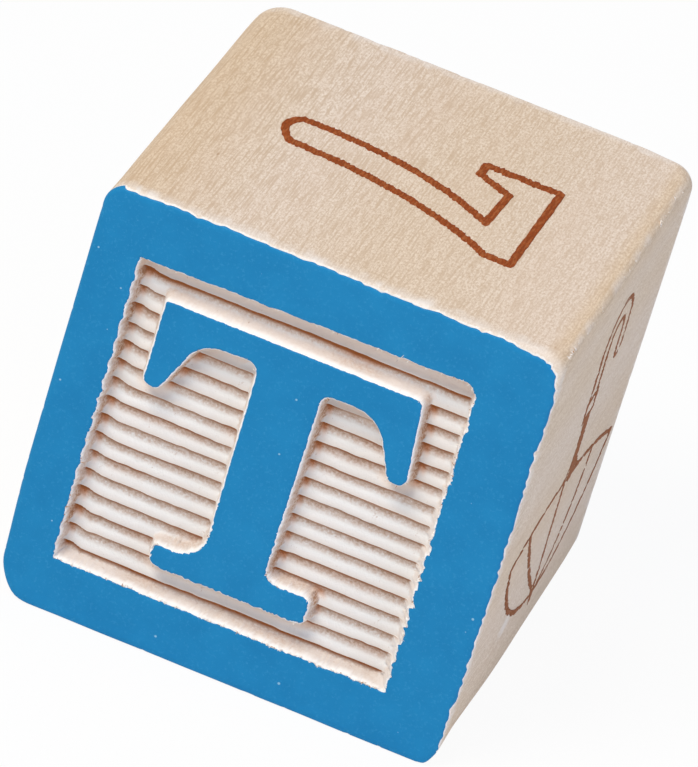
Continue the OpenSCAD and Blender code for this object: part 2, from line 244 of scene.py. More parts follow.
# Stations round a rounded square, anticlockwise from the right, seen from the front: each lies
# on a corner's arc, or a share of the way from one corner's arc to the next
corner_right = np.array([1, -1, -1, 1])
corner_up = np.array([1, 1, -1, -1])
arc_steps = 13
side_steps = 240
quarter = arc_steps + side_steps - 1
stations = 4 * quarter
along_side = np.arange(quarter) >= arc_steps
from_corner = np.repeat(np.arange(4), quarter)
to_corner = (from_corner + np.tile(along_side, 4)) % 4
quarter_angle = np.r_[np.radians(np.linspace(0, 90, arc_steps)), np.full(side_steps - 1, np.pi / 2)]
station_angle = np.tile(quarter_angle, 4) + from_corner * np.pi / 2
station_share = np.tile(np.r_[np.zeros(arc_steps), np.linspace(0, 1, side_steps + 1)[1:-1]], 4)
station_out = np.stack([np.cos(station_angle), np.sin(station_angle)], -1)
# The same stations as they lie when the ring is seen from behind
mirrored = (quarter + arc_steps - 1 - np.arange(stations)) % stations


def ring(middle_u, middle_v, half_u, half_v, radii, shrink=0):
    """Points of rounded rectangles, one a row: corner centre + radius, shared between corners."""
    def corner(k):
        r = np.maximum(radii[:, k] - shrink, 0.2)
        u = middle_u + corner_right[k] * (half_u - r) + r * np.cos(station_angle)
        v = middle_v + corner_up[k] * (half_v - r) + r * np.sin(station_angle)
        return np.stack([u, v], -1)
    share = station_share[:, None]
    return corner(from_corner) * (1 - share) + corner(to_corner) * share


# How far the bare wood lies inside the printed faces, so that the ink can lie on it
wood_in = 0.02
# A plain edge, by which the noise round the block is placed
plain_radius = 2.5
# Corner radii from top right, anticlockwise seen from the front: at the front end, behind it,
# ahead of the back end and at the back end
front_radii = np.array([1.9, 2.4, 3.8, 2.0])
behind_radii = np.array([0.9, 2.7, 3.2, 2.6])
ahead_radii = np.array([1.1, 3.4, 3.0, 3.1])
back_radii = np.array([2.2, 3.6, 3.4, 3.4])
behind_at, ahead_at = -17, 18

# The carved panel: its middle and half sizes, as the block's own front shows them
panel_middle_u, panel_middle_v = -1.0, -0.15
panel_half_w, panel_half_h = 16.4, 16.35
pocket_margin = 0.75
pocket_radius = 0.3
pocket_deep = 3.2


def long_radii(y):
    """Radii of the four long edges at a depth: eased from the front's to the back's."""
    early = ramp(y, -land, behind_at)[:, None]
    late = ramp(y, behind_at, ahead_at)[:, None]
    last = ramp(y, ahead_at, land)[:, None]
    radii = front_radii + (behind_radii - front_radii) * early + (ahead_radii - behind_radii) * late
    return radii + (back_radii - ahead_radii) * last


edge_u, edge_v = ring(0, 0, half, half, np.full((1, 4), plain_radius))[0].T


def around(scale, seed, y=0):
    """Value noise by station round the block's edge, at a depth y, in waves of a scale in mm."""
    return patchy((edge_u + 0.6 * y) / scale, (edge_v + 0.8 * y) / scale, seed)


def side_wear(y):
    """How much the sides are worn in at a depth: low waves, and more towards the front's foot."""
    waves = 0.02 + 0.02 * around(9, 3, y[:, None])
    low = ramp(-edge_v, 9, half) * ramp(np.abs(np.cos(station_angle)), 0.3, 1)
    return wood_in + np.clip(waves, 0, 1) + (0.03 + 0.32 * low) * ramp(-y, 0, land)[:, None]


def rim_radius(mean, seed):
    """Radius of the rim round an end, station by station: a mean, slow waves and short chips."""
    return mean + 0.1 * around(4, seed) + 0.2 * ramp(around(0.8, seed + 1), 0.45, 1)


# Where the rims are blunt, at the top right corner, and where they are sharp, along the bottom
rim_angles = np.radians(np.linspace(0, 90, 8))
blunt = ramp(edge_u, half - 6.5, half - 1.5) * ramp(edge_v, half - 5, half - 0.5)
sharp = ramp(-np.sin(station_angle), 0.3, 1)
front_rim = rim_radius(0.36, 5) * (1 - 0.4 * sharp) + 0.68 * blunt
back_rim = rim_radius(0.45, 7) + 0.6 * blunt


def coat_reach(rim, seed, laps):
    """How far round the rim a coat reaches past the land's end, station by station, in mm: less
    than nothing where it is worn back, and round the left and the bottom where it laps."""
    on_right = ramp(np.cos(station_angle), 0.3, 1)
    reach = 0.14 + 0.09 * around(1.7, seed) + (0.11 + 0.07 * on_right) * around(0.5, seed + 1)
    reach = reach + 0.14 * on_right
    lap = (np.sin(station_angle) < -0.3) | (np.cos(station_angle) < -0.3)
    return np.where(lap & laps, 1.5 * rim, reach)


front_reach = coat_reach(front_rim, 133, True)
back_reach = coat_reach(back_rim, 233, False)


# Two rows on each end's land, by their distance from the sides
land_rows = (2.6, 1.5)


def end_rows(sign, rim, reach):
    """Rows of one end, from the pocket's floor out to the side: ring points, depth y, and how far
    each point lies past the coat, along the surface."""
    mean_y = np.full(1, sign * land)
    radii = long_radii(mean_y)
    wear = side_wear(mean_y)
    pocket = np.full((1, 4), pocket_radius)
    pocket_u = panel_half_w + pocket_margin
    pocket_v = panel_half_h + pocket_margin
    floor_ring = ring(-sign * panel_middle_u, panel_middle_v, pocket_u, pocket_v, pocket)
    outline = [floor_ring[0], floor_ring[0]]
    heights = [np.full(stations, land - pocket_deep), np.full(stations, land)]
    past = [np.full(stations, -1.0)] * 4
    for step in land_rows:
        outline.append(ring(0, 0, half - wear - step, half - wear - step, radii, step)[0])
        heights.append(np.full(stations, land))
    for angle in rim_angles[::-1]:
        inset = rim * (1 - np.cos(angle))
        outline.append(ring(0, 0, half - wear - inset, half - wear - inset, radii, inset)[0])
        heights.append(land - rim * (1 - np.sin(angle)))
        past.append(rim * (np.pi / 2 - angle) - reach)
    return np.stack(outline), sign * np.stack(heights), np.stack(past)


front_flat, front_y, front_past = end_rows(-1, front_rim, front_reach)
back_flat, back_y, back_past = end_rows(1, back_rim, back_reach)
# Rows along the sides lie closest near the ends, where the long edges' radii change
side_y = np.concatenate([np.arange(-20.6, -18, 0.4), np.arange(-18, 19.5, 1.25), np.linspace(19.5, 20.8, 4)])
side_wear_in = side_wear(side_y)
side_flat = ring(0, 0, half - side_wear_in, half - side_wear_in, long_radii(side_y))
side_past = np.minimum(side_y[:, None] + land + (np.pi / 2 - 1) * front_rim - front_reach,
                       land - side_y[:, None] + (np.pi / 2 - 1) * back_rim - back_reach)
block_past = np.concatenate([front_past, side_past, back_past[::-1]])
block_flat = np.concatenate([front_flat, side_flat, back_flat[::-1]])
block_y = np.concatenate([front_y, np.broadcast_to(side_y[:, None], side_flat.shape[:2]), back_y[::-1]])
block_points = np.stack([block_flat[..., 0], block_y, block_flat[..., 1] + face_middle], -1)
rows = len(block_points)
poles = [[panel_middle_u, -land + pocket_deep, face_middle + panel_middle_v],
         [-panel_middle_u, land - pocket_deep, face_middle + panel_middle_v]]
all_points = np.concatenate([block_points.reshape(-1, 3), poles])
j = np.arange(stations)
near_fan = np.stack([np.full(stations, rows * stations), (j + 1) % stations, j], -1)
last = (rows - 1) * stations
far_fan = np.stack([np.full(stations, rows * stations + 1), last + j, last + (j + 1) % stations], -1)

# Pale bruised wood: lightly along the rims and the long edges
to_rim = land - np.abs(all_points[:, 1])
rim_noise = patchy(all_points[:, 0] / 0.9 + all_points[:, 2] / 0.7, all_points[:, 1] / 0.8, 21)
bruised = 0.4 * ramp(1.7 + 0.8 * rim_noise - to_rim, 0, 1.4)
# The largest bruises on the top's front rim: middle and half width
rim_bruises = ((-18.7, 1.4), (-2.0, 1.3), (3.9, 0.6), (7.9, 1.4))
patches = patchy(all_points[:, 0] / 0.9, all_points[:, 1] / 0.7, 4)
for middle, reach in rim_bruises:
    across = np.abs(all_points[:, 0] - middle) + 0.6 * patches
    patch = ramp(reach - across, -0.6, 0.6) * ramp(1.3 + 0.8 * patches - (land + all_points[:, 1]), 0, 1)
    bruised = np.maximum(bruised, 0.7 * patch * (all_points[:, 2] > 2 * half - 1))
long_edge = np.maximum(half - np.abs(all_points[:, 0]), half - np.abs(all_points[:, 2] - half))
bruised = np.maximum(bruised, 0.4 * ramp(0.7 - long_edge, -0.2, 0.4) * ramp(rim_noise, -0.5, 0.8))
# A pale knot low on the right face: its place and half sizes along Y and up
knot_y, knot_z = -8, 8.6
knot_long, knot_high = 1.7, 1.2
knot = np.hypot((all_points[:, 1] - knot_y) / knot_long, (all_points[:, 2] - knot_z) / knot_high)
bruised = np.maximum(bruised, 0.55 * ramp(1.2 - knot, 0, 0.7) * (all_points[:, 0] > half - 1))

# Sanded basswood: pale cream, its short cut fibres along Y show as a fine sandy mottle and soft
# streaks, with a yellower growth band on one side. It is unvarnished, so it hardly shines.
wood_pale = shade("#F1E1D0")
wood_tan = shade("#D0B79C")
wood_yellow = shade("#F3E7CA")
wood_pink = shade("#E2C8B4")
wood_pore = shade("#A9825C")
wood_bruise = shade("#F8F2EC")

basswood = bpy.data.materials.new("sanded_basswood")
tree = emptied(basswood)
place = node(tree, "TexCoord").outputs["Object"]
in_mm = node(tree, "Mapping", {"Vector": place, "Scale": (1000, 1000, 1000)}).outputs[0]
aside = node(tree, "SeparateXYZ", {"Vector": in_mm})
# Cut fibre ends, about 0.2 mm wide and twice as long
short = node(tree, "Mapping", {"Vector": place, "Scale": (1000, 450, 1000)}).outputs[0]
mottle = node(tree, "TexNoise", {"Vector": short, "Scale": 5.5, "Detail": 3, "Roughness": 0.8})
# Fibre streaks about 0.2 mm wide and 4 mm long, and soft clouds 6 mm wide along the whole block
lengthwise = node(tree, "Mapping", {"Vector": place, "Scale": (1000, 45, 1000)}).outputs[0]
streaks = node(tree, "TexNoise", {"Vector": lengthwise, "Scale": 5, "Detail": 2, "Roughness": 0.6})
along = node(tree, "Mapping", {"Vector": place, "Scale": (1000, 90, 1000)}).outputs[0]
clouds = node(tree, "TexNoise", {"Vector": along, "Scale": 0.16, "Detail": 2})
# Growth bands: shells round a pith that lies off the lower right of the block
pith = node(tree, "Mapping", {"Vector": in_mm, "Location": (-62, 0, 52), "Scale": (1, 0.03, 1)}).outputs[0]
bands = node(tree, "TexWave", {"Vector": pith, "Scale": 0.021, "Distortion": 2.2, "Detail": 2,
                               "Detail Scale": 0.4}, wave_type="RINGS", rings_direction="Y")
mottle_share = node(tree, "MapRange", {"Value": mottle.outputs["Fac"], "From Min": 0.38, "From Max": 0.6,
                                       "To Min": 0.1})
base = node(tree, "Mix", {0: mottle_share.outputs[0], 6: wood_tan, 7: wood_pale}, data_type="RGBA")
streak_share = node(tree, "MapRange", {"Value": streaks.outputs["Fac"], "From Min": 0.46, "From Max": 0.64})
# The streaks are plainest on the left
streak_side = node(tree, "MapRange", {"Value": aside.outputs["X"], "From Min": 10, "From Max": -10,
                                      "To Min": 0.6, "To Max": 0.9})
streak_kept = node(tree, "Math", {0: streak_share.outputs[0], 1: streak_side.outputs[0]},
                   operation="MULTIPLY")
streaked = node(tree, "Mix", {0: streak_kept.outputs[0], 6: base.outputs[2], 7: wood_tan},
                data_type="RGBA")
pink_share = node(tree, "MapRange", {"Value": clouds.outputs["Fac"], "From Min": 0.45, "From Max": 0.7,
                                     "To Max": 0.2})
pinked = node(tree, "Mix", {0: pink_share.outputs[0], 6: streaked.outputs[2], 7: wood_pink},
              data_type="RGBA")
band_share = node(tree, "Math", {0: bands.outputs["Fac"], 1: 0.3}, operation="MULTIPLY")
banded = node(tree, "Mix", {0: band_share.outputs[0], 6: pinked.outputs[2], 7: wood_yellow},
              data_type="RGBA", blend_type="MULTIPLY")
# The yellower band on the left, and a narrow one on the top's right edge
edge_wander = node(tree, "Math", {0: clouds.outputs["Fac"], 1: 9, 2: aside.outputs["X"]},
                   operation="MULTIPLY_ADD")
left_band = node(tree, "MapRange", {"Value": edge_wander.outputs[0], "From Min": -5, "From Max": -14,
                                    "To Max": 0.32}, interpolation_type="SMOOTHSTEP")
right_band = node(tree, "MapRange", {"Value": aside.outputs["X"], "From Min": 19.5, "From Max": 21.5,
                                     "To Max": 0.5}, interpolation_type="SMOOTHSTEP")
upper = node(tree, "MapRange", {"Value": aside.outputs["Z"], "From Min": 40, "From Max": 44})
right_top = node(tree, "Math", {0: right_band.outputs[0], 1: upper.outputs[0]}, operation="MULTIPLY")
yellow = node(tree, "Math", {0: left_band.outputs[0], 1: right_top.outputs[0]}, operation="MAXIMUM")
yellowed = node(tree, "Mix", {0: yellow.outputs[0], 6: banded.outputs[2], 7: wood_yellow},
                data_type="RGBA", blend_type="MULTIPLY")
# Few dark pores, one in a cell of 3 by 7 mm
pores = node(tree, "TexVoronoi", {"Vector": short, "Scale": 0.32, "Randomness": 1})
pore_share = node(tree, "MapRange", {"Value": pores.outputs["Distance"], "From Min": 0.05,
                                     "From Max": 0.015, "To Max": 0.6})
pored = node(tree, "Mix", {0: pore_share.outputs[0], 6: yellowed.outputs[2], 7: wood_pore},
             data_type="RGBA")
# The rims are crushed to white fibres past the paint, in a line whose width wanders
bruise = node(tree, "Attribute", attribute_name="bruised")
worn = node(tree, "Mix", {0: bruise.outputs["Fac"], 6: pored.outputs[2], 7: wood_bruise},
            data_type="RGBA")
past = node(tree, "Attribute", attribute_name="past_coat")
wear_noise = node(tree, "TexNoise", {"Vector": in_mm, "Scale": 1.6, "Detail": 4, "Roughness": 0.65})
rim_reach = node(tree, "Math", {0: wear_noise.outputs["Fac"], 1: 0.7, 2: -0.16}, operation="MULTIPLY_ADD")
over_rim = node(tree, "Math", {0: rim_reach.outputs[0], 1: past.outputs["Fac"]}, operation="SUBTRACT")
rim_share = node(tree, "MapRange", {"Value": over_rim.outputs[0], "From Min": -0.05, "From Max": 0.12})
whitened = node(tree, "Mix", {0: rim_share.outputs[0], 6: worn.outputs[2], 7: wood_bruise},
                data_type="RGBA")
height = node(tree, "Math", {0: streaks.outputs["Fac"], 1: mottle.outputs["Fac"]}, operation="ADD")
bump = node(tree, "Bump", {"Height": height.outputs[0], "Strength": 0.4, "Distance": 0.0001})
skin = node(tree, "BsdfPrincipled", {"Base Color": whitened.outputs[2], "Roughness": 0.8, "IOR": 1.5,
                                     "Specular IOR Level": 0.2, "Sheen Weight": 0.12,
                                     "Sheen Roughness": 0.5, "Normal": bump.outputs[0]})
node(tree, "OutputMaterial", {"Surface": skin.outputs[0]})

wood_block = piece("wood_block", all_points, grid_faces(rows, stations, closed_columns=True),
                   np.concatenate([near_fan, far_fan]), basswood,
                   {"bruised": bruised, "past_coat": np.r_[block_past.ravel(), -1, -1]})
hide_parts("block_body")


# Carvings. The two ends of the same wood, pressed and cut across the grain: a sunk panel of
# hollow flutes with burnt ridges, torn sloping walls, and the letter left standing.
front_seed, back_seed = 100, 200

# The letter's corners, anticlockwise from the top right: right, up and radius
letter_corners = np.array([
    [10.96, 12.96, 0.9], [-14.07, 12.89, 0.3], [-14.11, 4.0, 0.8], [-12.5, 4.0, 0.7],
    [-9.9, 10.05, 3.1], [-4.3, 10.3, 1.2], [-4.15, -11.15, 2.8], [-8.85, -11.11, 0.4],
    [-8.81, -13.37, 0.85], [6.55, -13.37, 0.95], [6.55, -10.41, 0.9], [1.85, -10.44, 1.3],
    [2.07, 9.85, 0.95], [7.52, 9.85, 3.6], [9.93, 4.0, 0.75], [11.74, 4.0, 0.85],
])


def round_corners(corners, steps=7):
    """A closed outline whose corners are arcs: each touches both sides at r / tan(half angle)."""
    here = corners[:, :2]
    radius = corners[:, 2:3]
    to_last = np.roll(here, 1, 0) - here
    to_next = np.roll(here, -1, 0) - here
    to_last = to_last / np.linalg.norm(to_last, axis=1, keepdims=True)
    to_next = to_next / np.linalg.norm(to_next, axis=1, keepdims=True)
    angle = np.arccos((to_last * to_next).sum(1, keepdims=True)) / 2
    middle = to_last + to_next
    middle = here + middle / np.linalg.norm(middle, axis=1, keepdims=True) * radius / np.sin(angle)
    first = here + to_last * radius / np.tan(angle) - middle
    turn = np.sign(to_last[:, :1] * to_next[:, 1:] - to_last[:, 1:] * to_next[:, :1])
    swept = -turn * (np.pi - 2 * angle) * np.linspace(0, 1, steps)
    u = middle[:, :1] + first[:, :1] * np.cos(swept) - first[:, 1:] * np.sin(swept)
    v = middle[:, 1:] + first[:, :1] * np.sin(swept) + first[:, 1:] * np.cos(swept)
    return np.stack([u, v], -1).reshape(-1, 2)


def inside_outline(u, v, outline):
    """Distance to a closed outline, positive inside: the nearest segment, and crossings counted."""
    nearest = np.full(u.shape, 1e9)
    inside = np.zeros(u.shape, bool)
    for start, end in zip(outline, np.roll(outline, -1, 0)):
        du, dv = end - start
        t = np.clip(((u - start[0]) * du + (v - start[1]) * dv) / (du * du + dv * dv), 0, 1)
        nearest = np.minimum(nearest, np.hypot(u - start[0] - t * du, v - start[1] - t * dv))
        if start[1] != end[1]:
            inside ^= ((start[1] > v) != (end[1] > v)) & (u < start[0] + (v - start[1]) * du / dv)
    return np.where(inside, nearest, -nearest)


letter_outline = round_corners(letter_corners)
# Flutes: spacing, height of one ridge on the face, depth to the hollow, and ridge above hollow
flute_pitch = 1.983
flute_middle = 0.53
relief_deep = 1.68
flute_rise = 0.36
flute_radius = (flute_pitch ** 2 / 4 + flute_rise ** 2) / (2 * flute_rise)
wall_slope = 1 / np.tan(radians(16))
# The ridges next to the panel's top and bottom, counted downwards
top_ridge, bottom_ridge = -7, 8


def flute_phase(u, v, seed):
    """Flutes counted downwards from one ridge: whole numbers are ridges, which waver a little."""
    waver = 0.1 * patchy(u / 6, v / 1.5, seed) + 0.045 * patchy(u / 0.9, v / 1.5, seed + 1)
    entry = 0.3 * ramp(-u, 14.8, 16.6) ** 2
    return (flute_middle + waver + entry - v) / flute_pitch


def ragged(u, v, seed):
    """Noise with sharp crests, as torn fibres end: 1 - 2 |value noise|, at two scales."""
    coarse = 1 - 2 * np.abs(patchy(u / 0.8, v / 0.8, seed))
    fine = 1 - 2 * np.abs(patchy(u / 0.34, v / 0.34, seed + 1))
    return 0.35 * coarse + 0.65 * fine


def letter_inside(u, v, seed):
    """Distance into the letter's land, whose lower half tore most, in sharp notches."""
    torn = (0.05 + 0.08 * ramp(-v, -1, 9)) * ragged(u, v, seed)
    return inside_outline(u, v, letter_outline) - torn + 0.02


def blend_low(a, b, reach):
    """Smooth least of two fields: their least, less a quarter of the reach where they cross."""
    near = np.clip(reach - np.abs(a - b), 0, None) / reach
    return np.minimum(a, b) - near * near * reach / 4


def snapped(field, u, v, step):
    """Grid points within half a step of a field's zero moved onto it, by the field's value over
    its slope, and the field there."""
    tiny = step / 8
    here = field(u, v)
    slope_u = (field(u + tiny, v) - here) / tiny
    slope_v = (field(u, v + tiny) - here) / tiny
    steep = np.clip(slope_u ** 2 + slope_v ** 2, 0.5, None)
    near = np.abs(here) < 0.5 * step * np.sqrt(steep)
    u = np.where(near, u - here * slope_u / steep, u)
    v = np.where(near, v - here * slope_v / steep, v)
    return u, v, np.where(near, 0, here)


# The panel's torn sides, by their distance from the face's middle
torn_left, torn_right, torn_top, torn_bottom = 17.41, 15.36, 16.2, 16.5


def panel_inside(u, v, seed):
    """Distance into the sunk panel from its four torn sides, of which the right is saw-toothed."""
    phase = flute_phase(u, v, seed + 9)
    tooth = phase - np.floor(phase)
    bite = ramp(patchy(v / 2.2, v * 0 + 3, seed + 2), -0.6, 0.9)
    torn = ragged(u, v, seed + 3)
    left = u + torn_left + 0.15 * (np.abs(tooth - 0.5) * 2 - 0.5) + 0.11 * torn
    spikes = ramp(patchy(v / 0.7, v * 0 + 7, seed + 4), 0.3, 1)
    right = torn_right - 0.0095 * v - u + 0.34 * (0.2 + bite) * (tooth - 0.45) + 0.11 * (torn - 0.2)
    right = right + 0.22 * spikes
    top = torn_top + 0.0147 * u - v + 0.05 * patchy(u / 1.2, u * 0 + 1, seed + 5) + 0.06 * torn
    bottom = v + torn_bottom + 0.09 * patchy(u / 0.9, u * 0 + 2, seed + 6) + 0.09 * (torn - 0.2)
    return np.minimum(np.minimum(left, bottom), blend_low(right, top, 1.4))


carve_step = 0.112
carve_margin = 0.6
carve_left, carve_right = -torn_left - carve_margin, 15.6 + carve_margin
carve_bottom, carve_top = -16.6 - carve_margin, 16.5 + carve_margin


def carving(name, face, seed):
    """A slab of the block's end: a grid sunk to the least of wall, letter wall and flute depths."""
    u, v = np.meshgrid(np.arange(carve_left, carve_right, carve_step),
                       np.arange(carve_bottom, carve_top, carve_step), indexing="ij")
    for inside in (panel_inside, letter_inside):
        u, v, _ = snapped(lambda a, b: inside(a, b, seed), u, v, carve_step)
    phase = flute_phase(u, v, seed + 9)
    flute = np.floor(phase)
    across = (phase - flute - 0.5) * flute_pitch
    hollow = flute_radius - np.sqrt(flute_radius ** 2 - across ** 2)
    furrow = 0.04 * patchy(flute * 3.1, u / 9, seed + 11)
    fuzz = 0.012 * patchy(u / 0.25, v / 0.16, seed + 12) + 0.02 * patchy(u / 1.6, v / 0.5, seed + 13)
    ground = relief_deep - hollow + furrow + fuzz
    rim_in = panel_inside(u, v, seed)
    letter_out = -letter_inside(u, v, seed)
    rough = 0.14 * patchy(u / 0.2, v / 0.2, seed + 14) + 0.16 * patchy(u / 0.7, v / 0.7, seed + 15)
    flatter = 1 - (0.05 + 0.43 * ramp(-v, -14, 6)) * ramp(u, 13.4, 14.6)
    frame_wall = np.clip(rim_in, 0, None) * wall_slope * flatter * (1 + rough)
    letter_wall = np.clip(letter_out, 0, None) * wall_slope * (1 + rough)
    walls = np.minimum(frame_wall, letter_wall)
    deep = np.clip(blend_low(walls, ground, 0.45), 0, None)
    deep = np.where((rim_in <= 0) | (letter_out <= 0), 0, deep)
    wall = ramp(ground - walls, -0.3, 0.35)
    # The tool burnt a flute most where it starts, at the foot of a wall on its left
    plain = inside_outline(u, v, letter_outline)
    rightward = (plain - inside_outline(u + 0.4, v, letter_outline)) / 0.4
    upward = (plain - inside_outline(u, v - 0.4, letter_outline)) / 0.4
    start = np.maximum(ramp(-u, 15.9, 16.7) * ramp(v, -16.4, -15.4),
                       ramp(1.4 + plain, 0, 0.8) * ramp(rightward, 0.4, 0.9))
    # The white rim is thinnest over a burnt wall
    rim_near = ramp(0.2 - 0.11 * start - np.minimum(rim_in, letter_out), 0, 0.12)
    stretch = ramp(patchy(u / 4.5, flute * 3.7, seed + 21), -0.7, 0.5)
    # The outermost ridges lie below the panel's top wall and the letter's foot: their ridge lines are
    # darkened more, as painted shade
    outermost = (flute == top_ridge) | (flute == bottom_ridge)
    burnt = (0.35 + 0.5 * stretch + 0.8 * start) * (1 - 0.4 * ramp(u, 13.9, 14.8))
    # The top flute's upper part, under the panel's top wall, is darkened further as painted shade, added to
    # its burn
    burnt = burnt + 0.4 * (flute == top_ridge) * ramp(0.6 + flute - phase, 0, 0.4)
    # The walls that face down, under the panel's top and under the letter, and the wood below them: the end
    # grain's colour gives them painted bounce light
    under = np.maximum(ramp(v, 14.2, 15), ramp(1.9 + plain, 0, 1) * ramp(upward, 0.3, 0.9))
    shape = u.shape
    top = on_face(face, u, v, -paint_thick - deep).reshape(-1, 3)
    count = len(top)
    i = np.arange(shape[0])
    k = np.arange(shape[1])
    # The border of the grid, anticlockwise
    border = np.concatenate([i * shape[1], (shape[0] - 1) * shape[1] + k[1:],
                             i[-2::-1] * shape[1] + shape[1] - 1, k[-2:0:-1]])
    low = on_face(face, u.ravel()[border], v.ravel()[border], -paint_thick - pocket_deep + 0.1)
    centre = low.mean(0, keepdims=True)
    points = np.concatenate([top, low, centre])
    following = np.roll(np.arange(len(border)), -1)
    skirt = np.stack([border[following], border, count + np.arange(len(border)), count + following], -1)
    fan = np.stack([np.full(len(border), count + len(border)), count + following,
                    count + np.arange(len(border))], -1)
    cells = grid_faces(*shape)[:, [0, 3, 2, 1]]
    flat_end = np.zeros(len(border) + 1)
    tints = {
        "phase": np.r_[phase.ravel(), flat_end],
        "wall": np.r_[wall.ravel(), flat_end],
        "sunk": np.r_[deep.ravel() / relief_deep, flat_end],
        "rim": np.r_[rim_near.ravel(), flat_end],
        "burnt": np.r_[burnt.ravel(), flat_end],
        "under": np.r_[under.ravel(), flat_end],
        "outermost": np.r_[outermost.ravel(), flat_end],
    }
    made = piece(name, points, np.concatenate([cells, skirt]), fan, end_grain, tints)
    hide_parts("block_body")
    return made


# Pressed end grain: chalky white in the hollows, scorched by the hot tool to a brown line under each
# ridge that fades downwards in short tan streaks. That line and fade also hold painted shade, and
# wood that faces down has painted bounce light. The walls are torn, white at their rims.
grain_white = shade("#FFFDFB")
grain_pale = shade("#EDE6E1")
grain_warm = shade("#E2D6CD")
grain_tan = shade("#CBAE99")
grain_brown = shade("#A97C5C")
# The next colour is painted bounce light for wood that faces down
grain_painted_bounce = shade("#EBD5C4")
# The ridge line's colour: scorch brown with painted shade
burn_and_shade_dark = shade("#94552C")
scorch_tint = shade("#EFB68C")
# A flute's colours from the foot of one ridge down to the next: the brown that fades down from the
# ridge is scorch and painted shade on the upper part, which faces down; lower down it is white, and
# lighter at the crest. And a wall's colours by its stain
flute_stops = (
    (0.0, shade("#AC8C76")), (0.1, shade("#B99B87")), (0.2, shade("#C6AE9E")),
    (0.32, shade("#D3BEB1")), (0.42, shade("#DCCFC7")), (0.52, shade("#E7E0DC")),
    (0.62, shade("#F0EEEC")), (0.72, shade("#EDEBEA")), (0.85, shade("#E2DEDC")),
    (0.97, shade("#DAD3CE")), (1.0, shade("#EAE5E1")))
wall_stops = (
    (0.0, grain_white), (0.1, grain_pale), (0.4, grain_warm), (0.8, grain_tan), (1.0, grain_brown))

end_grain = bpy.data.materials.new("pressed_end_grain")
tree = emptied(end_grain)
place = node(tree, "TexCoord").outputs["Object"]
# Torn fibre ends of 0.25 mm, and patches a little longer than wide
fibres = node(tree, "Mapping", {"Vector": place, "Scale": (1000, 1000, 900)}).outputs[0]
fine = node(tree, "TexNoise", {"Vector": fibres, "Scale": 4, "Detail": 3, "Roughness": 0.7})
hung = node(tree, "Mapping", {"Vector": place, "Scale": (700, 1000, 600)}).outputs[0]
hanging = node(tree, "TexNoise", {"Vector": hung, "Scale": 4.5, "Detail": 3, "Roughness": 0.65})
phase = node(tree, "Attribute", attribute_name="phase")
burnt = node(tree, "Attribute", attribute_name="burnt")
turned = node(tree, "Math", {0: phase.outputs["Fac"]}, operation="FRACT")
# The stain and its painted shade hang down unevenly, and further where the tool was hotter
near_ridge = node(tree, "MapRange", {"Value": turned.outputs[0], "From Min": 0.65, "From Max": 0.3},
                  interpolation_type="SMOOTHSTEP")
streaky = node(tree, "Math", {0: hanging.outputs["Fac"], 1: 1.0, 2: -0.44}, operation="MULTIPLY_ADD")
hotter = node(tree, "Math", {0: burnt.outputs["Fac"], 1: -0.12, 2: streaky.outputs[0]},
              operation="MULTIPLY_ADD")
shifted = node(tree, "Math", {0: hotter.outputs[0], 1: near_ridge.outputs[0], 2: turned.outputs[0]},
               operation="MULTIPLY_ADD")
stain_and_shade = node(tree, "ValToRGB", {0: shifted.outputs[0]}, flute_stops)
scorch = node(tree, "MapRange", {"Value": burnt.outputs["Fac"], "From Min": 0.75, "From Max": 1.35})
upper = node(tree, "MapRange", {"Value": turned.outputs[0], "From Min": 0.85, "From Max": 0.2})
scorch_share = node(tree, "Math", {0: scorch.outputs[0], 1: upper.outputs[0]}, operation="MULTIPLY")
scorched = node(tree, "Mix", {0: scorch_share.outputs[0], 6: stain_and_shade.outputs[0], 7: scorch_tint},
                data_type="RGBA", blend_type="MULTIPLY")
# A dark line along the ridge, broken into stretches and widest on the outermost ridges: scorch with
# painted shade under the ridge, the most under the panel's top wall and the letter's foot
breaks = node(tree, "MapRange", {"Value": hanging.outputs["Fac"], "From Min": 0.35, "From Max": 0.6,
                                 "To Min": 0.5, "To Max": 1})
outermost = node(tree, "Attribute", attribute_name="outermost")
line_reach = node(tree, "Math", {0: outermost.outputs["Fac"], 1: 0.12, 2: 0.18}, operation="MULTIPLY_ADD")
line = node(tree, "MapRange", {"Value": turned.outputs[0], "From Min": line_reach.outputs[0],
                               "From Max": 0.06})
line_burn_and_shade = node(tree, "Math", {0: outermost.outputs["Fac"], 1: 0.8, 2: burnt.outputs["Fac"]},
                  operation="MULTIPLY_ADD")
line_share = node(tree, "Math", {0: line.outputs[0], 1: line_burn_and_shade.outputs[0]}, operation="MULTIPLY")
line_kept = node(tree, "Math", {0: line_share.outputs[0], 1: breaks.outputs[0]}, operation="MULTIPLY",
                 use_clamp=True)
# Painted bounce light: wood that faces down is given a warmer, lighter colour, as if lit by the wood below
# it
under = node(tree, "Attribute", attribute_name="under")
ground_share = node(tree, "Math", {0: under.outputs["Fac"], 1: 0.6}, operation="MULTIPLY")
ground_bounce_lit = node(tree, "Mix", {0: ground_share.outputs[0], 6: scorched.outputs[2], 7: grain_painted_bounce},
                   data_type="RGBA")
ground = node(tree, "Mix", {0: line_kept.outputs[0], 6: ground_bounce_lit.outputs[2], 7: burn_and_shade_dark},
              data_type="RGBA")
